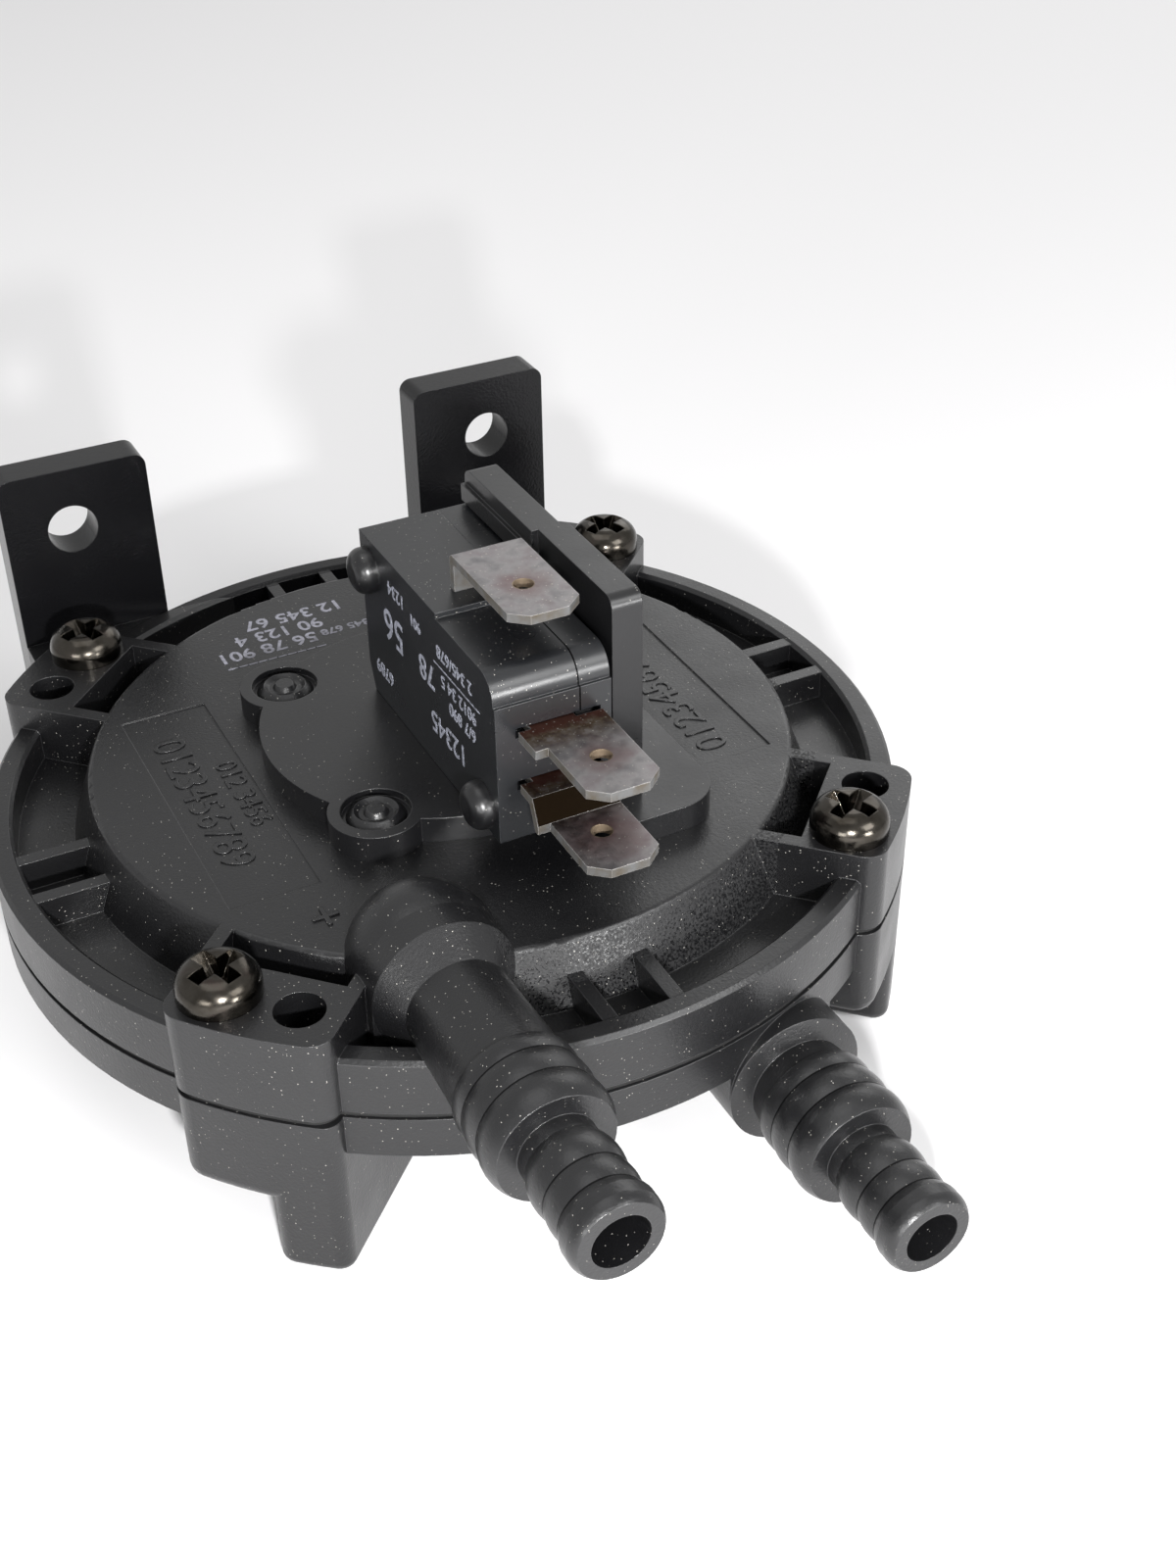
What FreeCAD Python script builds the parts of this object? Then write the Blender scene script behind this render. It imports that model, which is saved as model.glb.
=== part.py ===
# A differential pressure switch: a round two-shell housing clamps a rubber diaphragm, which lifts a
# pin against a snap switch on the upper deck. Two stepped hose ports lead to its two chambers.
# Millimetres. The origin is on the disc's axis, level with the feet; +Z is up, the ports point to -Y
# and the two mounting ears stand at +Y.

import FreeCAD, Part
import math
import os
from FreeCAD import Vector

os.makedirs("parts", exist_ok=True)

# Housing shells: heights are measured from the seam, upwards in the upper shell, downwards in the lower.
# The deck's radius drives the other radii: groove, rim, lugs, feet, ears and diaphragm follow from it.
seam_z = 16.5
diaphragm_t = 0.6
deck_r = 31.4
deck_flare = 2.0
groove_w = 5.0
rim_wall = 2.2
upper_rim_h = 5.5
lower_rim_h = 4.5
groove_floor_t = 2.2
deck_h = 8.0
deck_t = 2.0
deck_edge_r = 0.5
rim_edge = 0.35

# Shallow panels for lettering on both sides of the deck, left bare
panel_x = 17.5
panel_w = 7.8
panel_half_len = 15.3
panel_depth = 0.15

# Ribs that stiffen the groove, in pairs at the four quarters
rib_t = 1.3
rib_offset = 2.9
rib_below_rim = 0.2

# Screw lugs on the diagonals
lug_proud = 1.5
lug_depth = 7.6
lug_half = 7.0
lug_corner_r = 2.0
lug_under_r = 1.4
lug_web_t = 1.3
lower_lug_h = 9.5
fastening_inset = 3.9
fastening_angle = 5.0
lug_hole_r = 2.05
screw_shank_r = 1.45
screw_clearance = 0.25
screw_core_clearance = 0.05

# Feet under the lugs
foot_depth = 16.1
foot_start = 0.7
foot_corner_r = 1.4
foot_under_r = 0.9
foot_wall = 1.6
foot_core_inset = 8.1
foot_core_roof = 2.0

# Mounting ears
ear_inset = 2.75
ear_t = 3.85
ear_inner_x = 14.2
ear_w = 14.55
ear_top_z = 39.6
ear_corner_r = 1.2
ear_hole_x = 22.2
ear_hole_drop = 6.3
ear_hole_r = 2.45

# Hose ports: ring ends are distances back from the tip
port_x = 13.2
port_h = 6.6
port_tip_y = -59.7
port_bore_r = 2.3
port_tip_r = 3.35
small_ring_r = 3.4
small_neck_r = 3.15
end_ring_r = 3.75
end_ring_start = 0.9
end_ring_len = 1.0
first_small_end = 2.8
second_small_end = 5.1
third_small_end = 8.4
small_bulge = 0.18
large_face = 9.65
large_face_r = 4.74
large_ring_r = 4.97
first_large_end = 12.6
second_large_end = 15.1
third_large_end = 16.8
large_bulge = 0.2
front_large_bulge = 0.38
port_tube_r = 4.7
port_tube_root_r = 4.35
port_barrel_r = 6.1
port_dome_r = 6.3
port_dome_y = -26.3
upper_barrel_y = -30.5
upper_cone = 2.5
lower_barrel_y = -40.2
lower_cone = 0.5

# Diaphragm and its plates
diaphragm_edge_inset = 0.3
convolution_inset = 2.4
convolution_w = 7.0
convolution_h = 2.2
plate_inset = 0.8
plate_t = 1.0
plate_hole_clearance = 0.05
pin_r = 1.5
pin_head_r = 3.0
pin_head_t = 1.0
pin_collar_r = 2.6
pin_collar_t = 1.2
stop_r = 4.0
stop_gap = 0.2

# Pin guide in the middle of the upper deck
guide_boss_r = 5.0
guide_boss_h = 2.2
bush_r = 2.5
bush_len = 2.8
pin_clearance = 0.05
seal_r = 3.5
seal_fit = 0.02

# Return spring
spring_r = 7.5
spring_wire_r = 0.35
spring_turns = 2.0
spring_gap = 0.02

# Switch bracket: a round plate with staked bosses, and a wall beside the switch
plate_base_r = 16.2
base_t = 2.4
stake_x = 10.8
stake_y = 11.1
stake_boss_r = 4.1
stake_post_r = 1.5
stake_head_r = 2.6
stake_ring_r = 1.9
stake_ring_h = 0.7
stake_dent_outer_r = 1.5
stake_dent_inner_r = 1.1
stake_dent_h = 0.35
stake_tip_r = 0.8
stake_tip_h = 0.8
stake_well_r = 3.0
stake_well_depth = 0.7
stake_clearance = 0.05
pad_left_x = 5.6
pad_right_x = 16.3
pad_front_y = -23.0
pad_corner_r = 4.0
plunger_window_r = 2.6
wall_t = 2.75
wall_top_over_switch = 3.4
wall_jog = 0.65
wall_jog_behind_leg = 0.75
wall_front_inset = 1.13
wall_back_proud = 0.23
wall_gap = 0.05
ledge_t = 0.4
ledge_h = 1.6
ledge_gap = 0.3
wall_corner_r = 1.1
switch_pin_head_r = 2.1
switch_pin_edge_h = 0.5
switch_pin_head_h = 1.8
switch_pin_top_r = 0.9
front_head_sag = 0.5
rear_head_sag = 0.2
rear_head_shift = 0.75

# Snap switch: the printed side faces -X, and the plunger, a fixed share of the length behind the
# front, lies on the housing's axis. Places along the switch are measured from its front or its back.
switch_left_x = -3.65
switch_w = 10.3
switch_len = 27.8
switch_h = 15.9
plunger_share = 0.735
switch_seat_gap = 0.05
case_w = 7.5
case_wall = 1.2
case_front_wall = 1.5
case_front_r = 2.2
top_step = 0.5
top_step_before_leg = 2.5
back_corner_l = 1.0
back_corner_h = 2.5
front_step_z = 12.9
front_step = 0.3
mount_hole_inset = 2.8
mount_hole_r = 1.55
mount_pin_clearance = 0.05
mount_boss_wall = 0.9
plunger_r = 1.25
plunger_clearance = 0.05
plunger_out = 0.8
plunger_head_r = 1.7
plunger_head_t = 0.8
pin_to_plunger = 0.1

# Terminals
tab_w = 6.35
tab_t = 0.8
tab_x = 2.42
tab_hole_r = 0.85
tab_hole_back = 4.9
tab_chamfer_w = 1.5
tab_chamfer_l = 1.3
tab_reach = 11.27
tab_shoulder = 3.55
tab_root_extra = 1.1
tab_root_end = 0.47
open_tab_top = 10.6
closed_root_top = 5.55
closed_tab_drop = 2.2
closed_bend = 2.6
common_tab_rise = 3.25
common_leg_share = 0.492
common_tab_len = 11.6
slot_clearance = 0.06
strip_w = 4.0
strip_past_contact = 1.4
anchor_inset = 3.27
anchor_low = 6.3
arm_low = 9.55

# Contact blade
blade_t = 0.2
blade_w = 3.4
blade_past_contact = 1.4
blade_above_case_floor = 7.15
contact_inset = 7.43
contact_r = 1.1
contact_t = 0.6
moving_contact_t = 0.9
contact_gap = 0.05
window_w = 1.8
window_from_contact = 2.4
window_from_anchor = 7.1
bow_h = 1.1
bow_t = 0.2
bead_r = 0.25
bead_clearance = 0.05

# Screws
screw_head_r = 3.4
screw_head_side = 0.7
screw_head_h = 2.7
screw_head_top_r = 1.7
screw_len = 14.5
screw_turn = 22.0
recess_w = 1.35
recess_len = 4.7
recess_depth = 1.9
recess_low_w = 0.9
recess_low_len = 1.7

# Values that follow from the sizes above
half_seam = diaphragm_t / 2
floor_h = half_seam + groove_floor_t
deck_base_r = deck_r + deck_flare
rim_inner_r = deck_base_r + groove_w
rim_r = rim_inner_r + rim_wall
lug_r = rim_r + lug_proud
lug_inner = lug_r - lug_depth
fastening_r = lug_r - fastening_inset
foot_inner = lug_r - foot_depth
foot_core_end = lug_r - foot_core_inset
ear_face_y = rim_r - ear_inset
convolution_outer_r = deck_r - convolution_inset
convolution_inner_r = convolution_outer_r - convolution_w
plate_r = convolution_inner_r - plate_inset
deck_z = seam_z + deck_h
roof_z = deck_z - deck_t
rim_top_z = seam_z + upper_rim_h
joint_up_z = seam_z + half_seam
joint_low_z = seam_z - half_seam
base_top_z = deck_z + base_t
switch_z = base_top_z + switch_seat_gap
switch_top_z = switch_z + switch_h
switch_front_y = -plunger_share * switch_len
switch_back_y = switch_front_y + switch_len
common_leg_y = switch_front_y + common_leg_share * switch_len
common_tip_y = common_leg_y - common_tab_len
top_step_y = common_leg_y - top_step_before_leg
wall_jog_y = common_leg_y + wall_jog_behind_leg
wall_front_y = switch_front_y + wall_front_inset
wall_back_y = switch_back_y + wall_back_proud
tab_tip_y = switch_front_y - tab_reach
tab_shoulder_y = switch_front_y - tab_shoulder
tab_root_end_y = switch_front_y - tab_root_end
closed_bend_y = switch_front_y - closed_bend
contact_y = switch_front_y + contact_inset
strip_end_y = contact_y + strip_past_contact
blade_end_y = contact_y - blade_past_contact
anchor_y = switch_back_y - anchor_inset
window_front_y = contact_y + window_from_contact
window_back_y = anchor_y - window_from_anchor
switch_right_x = switch_left_x + switch_w
parting_x = switch_left_x + case_w
wall_top_z = switch_top_z + wall_top_over_switch
wall_x = switch_right_x + wall_gap
plate_top_z = joint_up_z + plate_t
plate_low_z = joint_low_z - plate_t
plunger_tip_z = switch_z - plunger_out
pin_top_z = plunger_tip_z - pin_to_plunger
mount_holes = [
    (switch_front_y + mount_hole_inset, switch_z + mount_hole_inset),
    (switch_back_y - mount_hole_inset, switch_top_z - mount_hole_inset),
]
stakes = [(-stake_x, -stake_y), (-stake_x, stake_y), (stake_x, stake_y)]
tab_left_x = tab_x - tab_w / 2
blade_z = switch_z + blade_above_case_floor
hinge_z = blade_z + blade_t / 2
open_contact_z = switch_z + open_tab_top - tab_t - contact_t
closed_contact_z = switch_z + closed_root_top + contact_t
strip_left_x = tab_left_x
contact_x = strip_left_x + strip_w / 2
X, Y, Z = Vector(1, 0, 0), Vector(0, 1, 0), Vector(0, 0, 1)


def cylinder(radius, z0, z1, x=0.0, y=0.0):
    return Part.makeCylinder(radius, z1 - z0, Vector(x, y, z0))


def rod_x(radius, x0, x1, y, z):
    return Part.makeCylinder(radius, x1 - x0, Vector(x0, y, z), X)


def rod_y(radius, y0, y1, x, z):
    return Part.makeCylinder(radius, y1 - y0, Vector(x, y0, z), Y)


def block(x0, x1, y0, y1, z0, z1):
    return Part.makeBox(x1 - x0, y1 - y0, z1 - z0, Vector(x0, y0, z0))


def turned(points):
    """A solid of revolution about Z from (radius, height) corners."""
    corners = [Vector(r, 0, z) for r, z in points]
    face = Part.Face(Part.makePolygon(corners + corners[:1]))
    return face.revolve(Vector(0, 0, 0), Z, 360)


def prism(points, plane, start, depth):
    """A prism on a plane: 'x' takes (y, z) corners, 'z' takes (x, y) corners."""
    if plane == "x":
        corners = [Vector(start, a, b) for a, b in points]
        direction = X * depth
    else:
        corners = [Vector(a, b, start) for a, b in points]
        direction = Z * depth
    return Part.Face(Part.makePolygon(corners + corners[:1])).extrude(direction)


def edges_along(shape, direction, chosen):
    """Straight edges along a direction whose middle point passes the test."""
    found = []
    for edge in shape.Edges:
        if edge.Curve.TypeId != "Part::GeomLine":
            continue
        line = (edge.lastVertex().Point - edge.firstVertex().Point).normalize()
        middle = edge.CenterOfMass
        if abs(line.dot(direction)) > 0.999 and chosen(middle):
            found.append(edge)
    return found


def edges_at_height(shape, z, chosen):
    """Edges that lie in one horizontal plane and whose middle point passes the test."""
    found = []
    for edge in shape.Edges:
        flat = edge.BoundBox.ZLength < 0.001 and abs(edge.CenterOfMass.z - z) < 0.001
        if flat and chosen(edge.CenterOfMass):
            found.append(edge)
    return found


def circles_at(shape, radius, z):
    """Horizontal circular edges of one radius at one height."""
    found = []
    for edge in shape.Edges:
        if edge.Curve.TypeId != "Part::GeomCircle":
            continue
        same_radius = abs(edge.Curve.Radius - radius) < 0.001
        if same_radius and abs(edge.Curve.Center.z - z) < 0.001:
            found.append(edge)
    return found


def turn_z(shape, degrees):
    moved = shape.copy()
    moved.rotate(Vector(0, 0, 0), Z, degrees)
    return moved


def joined(shapes):
    return shapes[0].multiFuse(shapes[1:]).removeSplitter()


def save(name, shape):
    solids = shape.Solids
    result = solids[0] if len(solids) == 1 else Part.makeCompound(solids)
    result.exportStep("parts/" + name + ".step")
    print(name, len(solids), round(result.Volume, 2), result.isValid())


def quarter_angles():
    return [45.0 + 90.0 * k for k in range(4)]


def fastening_xy(angle):
    return fastening_r * math.cos(math.radians(angle)), fastening_r * math.sin(math.radians(angle))


def shell_form(rim_h):
    """The outer form of one shell, with its seam plane at height 0 and its deck up."""
    form = turned([
        (0, half_seam),
        (rim_r, half_seam),
        (rim_r, rim_h),
        (rim_inner_r, rim_h),
        (rim_inner_r, floor_h),
        (deck_base_r, floor_h),
        (deck_r, deck_h),
        (0, deck_h),
    ])
    form = form.makeChamfer(rim_edge, circles_at(form, rim_r, rim_h) + circles_at(form, rim_inner_r, rim_h))
    return form.makeFillet(deck_edge_r, circles_at(form, deck_r, deck_h))


def chamber_form():
    """The chamber inside one shell."""
    slope = deck_flare / (deck_h - floor_h)
    low_r = deck_base_r - deck_t + slope * (floor_h - half_seam)
    top_r = deck_r - deck_t + slope * deck_t
    return turned([(0, half_seam), (low_r, half_seam), (top_r, deck_h - deck_t), (0, deck_h - deck_t)])


def groove_ribs(rim_h):
    """Pairs of parallel ribs between the deck's wall and the rim."""
    ribs = []
    for k in range(4):
        for side in (-1, 1):
            middle = side * rib_offset
            start = deck_r - deck_flare / 2
            end = rim_r - rim_wall / 2
            low, high = middle - rib_t / 2, middle + rib_t / 2
            rib = block(start, end, low, high, half_seam, rim_h - rib_below_rim)
            ribs.append(turn_z(rib, 90.0 * k))
    return ribs


def lug_block(z0, z1, inset=0.0, end_r=0.0):
    """One lug on the +X axis: straight sides, a round outer face, rounded corners and a rounded end."""
    half = lug_half - inset
    outer = lug_r - inset
    raw = block(lug_inner, lug_r + 1, -half, half, z0, z1).common(cylinder(outer, z0, z1))
    corner_x = math.sqrt(outer ** 2 - half ** 2)
    corners = edges_along(raw, Z, lambda m: abs(m.x - corner_x) < 0.01)
    lug = raw.makeFillet(lug_corner_r, corners)
    if end_r > 0:
        lug = lug.makeFillet(end_r, edges_at_height(lug, z1, lambda m: m.x > lug_inner + 0.1))
    return lug


def lug_webs(z1):
    """Two thin walls that carry a lug's sides in to the deck."""
    start = deck_r - deck_flare / 2
    end = lug_inner + lug_corner_r
    webs = []
    for side in (-1, 1):
        middle = side * (lug_half - lug_web_t / 2)
        low, high = middle - lug_web_t / 2, middle + lug_web_t / 2
        webs.append(block(start, end, low, high, half_seam, z1))
    return webs


def port_outline(front_y, cone):
    """(distance from the tip, radius, rise) of each step: a rise makes the edge to it an outward arc."""
    front = front_y - port_tip_y
    return [
        (0.0, port_tip_r, 0.0),
        (end_ring_start, end_ring_r, small_bulge / 2),
        (end_ring_start + end_ring_len, end_ring_r, 0.0),
        (first_small_end, small_ring_r, small_bulge / 3),
        (second_small_end, small_ring_r, small_bulge),
        (third_small_end, small_neck_r, small_bulge * 2),
        (large_face, small_neck_r, 0.0),
        (large_face, large_face_r, 0.0),
        (first_large_end, large_ring_r, front_large_bulge),
        (second_large_end, large_ring_r, large_bulge),
        (third_large_end, large_ring_r, large_bulge / 2),
        (third_large_end + large_bulge, port_tube_r, 0.0),
        (front - cone, port_tube_root_r, 0.0),
        (front, port_barrel_r, 0.0),
        (port_dome_y - port_tip_y, port_barrel_r, 0.0),
        (port_dome_y - port_tip_y, 0.0, 0.0),
    ]


def port_apron(front_y):
    """The block under a port's barrel, from the seam up to the port's axis, at x = 0."""
    return block(-port_barrel_r, port_barrel_r, front_y, port_dome_y, half_seam, port_h)


def hose_port(front_y, cone, apron):
    """A port at x = 0, axis at the port's height: dome, barrel, tube and two steps of rounded rings."""
    last = Vector(0, port_tip_y, 0)
    edges = []
    for back, radius, rise in port_outline(front_y, cone):
        point = Vector(radius, port_tip_y + back, 0)
        if rise > 0:
            middle = (last + point) * 0.5 + X * rise
            edges.append(Part.Arc(last, middle, point).toShape())
        else:
            edges.append(Part.makeLine(last, point))
        last = point
    edges.append(Part.makeLine(last, Vector(0, port_tip_y, 0)))
    stem = Part.Face(Part.Wire(edges)).revolve(Vector(0, 0, 0), Y, 360)
    stem.translate(Vector(0, 0, port_h))
    dome = Part.makeSphere(port_dome_r, Vector(0, port_dome_y, port_h))
    skirt = cylinder(port_dome_r, half_seam, port_h, 0, port_dome_y)
    return joined([stem, dome, skirt, apron])


def port_passage():
    """The bore from the tip to the dome, and the way down into the chamber."""
    bore = rod_y(port_bore_r, port_tip_y, port_dome_y + port_bore_r, 0, port_h)
    way_down = cylinder(port_bore_r, half_seam, port_h, 0, port_dome_y + port_bore_r)
    return bore.fuse(way_down)


def keep_above_seam(shape):
    """Cuts a form off flat at the shell's joint face."""
    reach = 2 * lug_r + abs(port_tip_y)
    return shape.common(block(-reach, reach, -reach, reach, half_seam, reach))


def ear(side):
    """One ear: an upright plate with a hole, on a root that fills the corner behind the rim."""
    x0 = ear_inner_x if side > 0 else -ear_inner_x - ear_w
    back_y = ear_face_y + ear_t
    plate = block(x0, x0 + ear_w, ear_face_y, back_y, joint_up_z, ear_top_z)
    top_corners = edges_along(plate, Y, lambda m: m.z > ear_top_z - 0.01)
    plate = plate.makeFillet(ear_corner_r, top_corners)
    hole_z = ear_top_z - ear_hole_drop
    hole = rod_y(ear_hole_r, ear_face_y - 1, back_y + 1, side * ear_hole_x, hole_z)
    root = block(x0, x0 + ear_w, 0, back_y, joint_up_z, rim_top_z - rim_edge)
    root = root.cut(cylinder(rim_r - rim_wall / 2, 0, ear_top_z))
    return plate.fuse(root).cut(hole)


def upper_housing():
    form = [shell_form(upper_rim_h)] + groove_ribs(upper_rim_h)
    for angle in quarter_angles():
        for piece in [lug_block(half_seam, deck_h)] + lug_webs(deck_h):
            form.append(turn_z(piece, angle))
    port = keep_above_seam(hose_port(upper_barrel_y, upper_cone, port_apron(upper_barrel_y)))
    port.translate(Vector(-port_x, 0, 0))
    form.append(port)
    shape = joined(form)
    passage = port_passage()
    passage.translate(Vector(-port_x, 0, 0))
    shape = shape.cut(chamber_form())
    shape.translate(Vector(0, 0, seam_z))
    passage.translate(Vector(0, 0, seam_z))
    boss = cylinder(guide_boss_r, roof_z - guide_boss_h, roof_z)
    posts = [stake_post(x, y) for x, y in stakes]
    shape = joined([shape, boss, ear(-1), ear(1)] + posts)
    cuts = [passage]
    for left_x in (panel_x, -panel_x - panel_w):
        cuts.append(block(
            left_x, left_x + panel_w, -panel_half_len, panel_half_len, deck_z - panel_depth, deck_z))
    cuts.append(cylinder(bush_r, roof_z - guide_boss_h, deck_z))
    cuts.append(cylinder(seal_r, roof_z - guide_boss_h, deck_z - bush_len))
    for angle in quarter_angles():
        x, y = fastening_xy(angle - fastening_angle)
        cuts.append(cylinder(screw_shank_r + screw_clearance, joint_up_z, deck_z, x, y))
        x, y = fastening_xy(angle + fastening_angle)
        cuts.append(cylinder(lug_hole_r, joint_up_z, deck_z, x, y))
    return shape.cut(Part.makeCompound(cuts))


def stake_post(x, y):
    """A post on the deck, melted over into a ringed head in the bracket's well."""
    well_floor = base_top_z - stake_well_depth
    post = cylinder(stake_post_r, deck_z, well_floor, x, y)
    head = turned([
        (0, well_floor),
        (stake_head_r, well_floor),
        (stake_ring_r, well_floor + stake_ring_h),
        (stake_dent_outer_r, well_floor + stake_dent_h),
        (stake_dent_inner_r, well_floor + stake_dent_h),
        (stake_tip_r, well_floor + stake_tip_h),
        (0, well_floor + stake_tip_h),
    ])
    head.translate(Vector(x, y, 0))
    return post.fuse(head)


def foot():
    """One foot under a lug's mounting hole, cored out from below."""
    lowest = -seam_z
    form = block(foot_inner, lug_r + 1, foot_start, lug_half, lowest, -half_seam)
    form = form.common(cylinder(lug_r, lowest, 0))
    corner_x = math.sqrt(lug_r ** 2 - lug_half ** 2)
    form = form.makeFillet(foot_corner_r, edges_along(form, Z, lambda m: m.x > corner_x - 0.01))
    form = form.makeFillet(foot_under_r, edges_at_height(form, lowest, lambda m: True))
    core = block(
        foot_inner + foot_wall, foot_core_end, foot_start + foot_wall, lug_half - foot_wall,
        lowest, -deck_h - foot_core_roof)
    return form.cut(core)


def lower_housing():
    form = [shell_form(lower_rim_h)] + groove_ribs(lower_rim_h)
    for angle in quarter_angles():
        for piece in [lug_block(half_seam, lower_lug_h, 0.0, lug_under_r)] + lug_webs(deck_h):
            form.append(turn_z(piece, angle))
    apron = port_apron(-rim_r).common(cylinder(rim_r, half_seam, port_h, -port_x, 0))
    port = keep_above_seam(hose_port(lower_barrel_y, lower_cone, apron))
    port.translate(Vector(port_x, 0, 0))
    form.append(port)
    shape = joined(form).cut(chamber_form())
    passage = port_passage()
    passage.translate(Vector(port_x, 0, 0))
    shape = shape.cut(passage)
    shape = shape.mirror(Vector(0, 0, 0), Z)
    feet = [turn_z(foot(), angle) for angle in quarter_angles()]
    chamber = chamber_form().mirror(Vector(0, 0, 0), Z)
    feet = [one.cut(chamber) for one in feet]
    shape = joined([shape] + feet)
    shape.translate(Vector(0, 0, seam_z))
    floor_z = seam_z - deck_h + deck_t
    stop = cylinder(stop_r, floor_z, plate_low_z - pin_head_t - stop_gap)
    shape = joined([shape, stop])
    cuts = []
    for angle in quarter_angles():
        x, y = fastening_xy(angle - fastening_angle)
        core_end = deck_z - screw_len - 0.5
        cuts.append(cylinder(screw_shank_r + screw_core_clearance, core_end, joint_low_z, x, y))
        x, y = fastening_xy(angle + fastening_angle)
        cuts.append(cylinder(lug_hole_r, 0, joint_low_z, x, y))
    return shape.cut(Part.makeCompound(cuts))


def diaphragm():
    """A rubber disc with one rolled convolution and ears at the lugs."""
    half = diaphragm_t / 2
    middle_r = (convolution_inner_r + convolution_outer_r) / 2
    edge_r = rim_r - diaphragm_edge_inset
    hole_r = pin_r + plate_hole_clearance
    p = [Vector(r, 0, z) for r, z in (
        (hole_r, -half), (convolution_inner_r, -half), (middle_r, -half - convolution_h),
        (convolution_outer_r, -half), (edge_r, -half), (edge_r, half), (convolution_outer_r, half),
        (middle_r, half - convolution_h), (convolution_inner_r, half), (hole_r, half))]
    wire = Part.Wire([
        Part.makeLine(p[0], p[1]),
        Part.Arc(p[1], p[2], p[3]).toShape(),
        Part.makeLine(p[3], p[4]),
        Part.makeLine(p[4], p[5]),
        Part.makeLine(p[5], p[6]),
        Part.Arc(p[6], p[7], p[8]).toShape(),
        Part.makeLine(p[8], p[9]),
        Part.makeLine(p[9], p[0]),
    ])
    sheet = Part.Face(wire).revolve(Vector(0, 0, 0), Z, 360)
    tabs = [turn_z(lug_block(-half, half, diaphragm_edge_inset), a) for a in quarter_angles()]
    sheet = joined([sheet] + tabs)
    holes = []
    for angle in quarter_angles():
        x, y = fastening_xy(angle - fastening_angle)
        holes.append(cylinder(screw_shank_r + screw_clearance, -half, half, x, y))
        x, y = fastening_xy(angle + fastening_angle)
        holes.append(cylinder(lug_hole_r, -half, half, x, y))
    sheet = sheet.cut(Part.makeCompound(holes))
    sheet.translate(Vector(0, 0, seam_z))
    return sheet


def upper_plate():
    """A stamped disc on the diaphragm, with a turned-up rim."""
    disc = turned([
        (pin_r + plate_hole_clearance, joint_up_z),
        (plate_r, joint_up_z),
        (plate_r, plate_top_z + plate_t),
        (plate_r - plate_t, plate_top_z + plate_t),
        (plate_r - plate_t, plate_top_z),
        (pin_r + plate_hole_clearance, plate_top_z),
    ])
    return disc


def lower_plate():
    return turned([
        (pin_r + plate_hole_clearance, plate_low_z),
        (plate_r, plate_low_z),
        (plate_r, joint_low_z),
        (pin_r + plate_hole_clearance, joint_low_z),
    ])


def actuator_pin():
    """A moulded pin with a collar above the plates and a riveted head below them."""
    head_low = plate_low_z - pin_head_t
    return turned([
        (0, head_low),
        (pin_head_r - 0.4, head_low),
        (pin_head_r, head_low + 0.4),
        (pin_head_r, plate_low_z),
        (pin_r, plate_low_z),
        (pin_r, plate_top_z),
        (pin_collar_r, plate_top_z),
        (pin_collar_r, plate_top_z + pin_collar_t),
        (pin_r, plate_top_z + pin_collar_t),
        (pin_r, pin_top_z - 0.3),
        (pin_r - 0.3, pin_top_z),
        (0, pin_top_z),
    ])


def pin_bush():
    inner = pin_r + pin_clearance
    low, high = deck_z - bush_len, deck_z - 0.3
    return turned([
        (inner, low), (bush_r - 0.02, low), (bush_r - 0.02, high - 0.3),
        (bush_r - 0.32, high), (inner + 0.3, high), (inner, high - 0.3)])


def pin_seal():
    """A rubber lip ring under the bush."""
    inner = pin_r + pin_clearance
    low, high = roof_z - guide_boss_h + 0.1, deck_z - bush_len
    return turned([
        (inner, low + 0.4), (inner + 0.5, low), (seal_r - seal_fit, low),
        (seal_r - seal_fit, high), (inner + 0.5, high), (inner, high - 0.4)])


def return_spring():
    """A round-wire spring between the deck and the upper plate."""
    low = plate_top_z + spring_wire_r + spring_gap
    high = roof_z - spring_wire_r - spring_gap
    pitch = (high - low) / spring_turns
    path = Part.makeHelix(pitch, high - low, spring_r)
    section = Part.Wire(Part.makeCircle(spring_wire_r, Vector(spring_r, 0, 0), Y))
    coil = Part.Wire(path.Edges).makePipeShell([section], True, True)
    coil.translate(Vector(0, 0, low))
    return coil


def domed(radius, side, top_r, height):
    """A round head on the plane z = 0: a short side, then an arc up to a flat top."""
    foot_point, side_point = Vector(radius, 0, 0), Vector(radius, 0, side)
    top_point = Vector(top_r, 0, height)
    bulge = (height - side) * 0.2
    middle = (side_point + top_point) * 0.5 + Vector(bulge, 0, bulge)
    outline = Part.Wire([
        Part.makeLine(Vector(0, 0, 0), foot_point),
        Part.makeLine(foot_point, side_point),
        Part.Arc(side_point, middle, top_point).toShape(),
        Part.makeLine(top_point, Vector(0, 0, height)),
        Part.makeLine(Vector(0, 0, height), Vector(0, 0, 0)),
    ])
    return Part.Face(outline).revolve(Vector(0, 0, 0), Z, 360)


def recess_arm():
    """One tapered arm pair of the cross recess, wide at the top of the head and narrow below."""
    def rectangle(length, width, z):
        corners = [(-1, -1), (1, -1), (1, 1), (-1, 1), (-1, -1)]
        return Part.makePolygon([Vector(a * length / 2, b * width / 2, z) for a, b in corners])
    low = screw_head_h - recess_depth
    return Part.makeLoft(
        [rectangle(recess_low_len, recess_low_w, low), rectangle(recess_len, recess_w, screw_head_h)], True)


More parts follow.
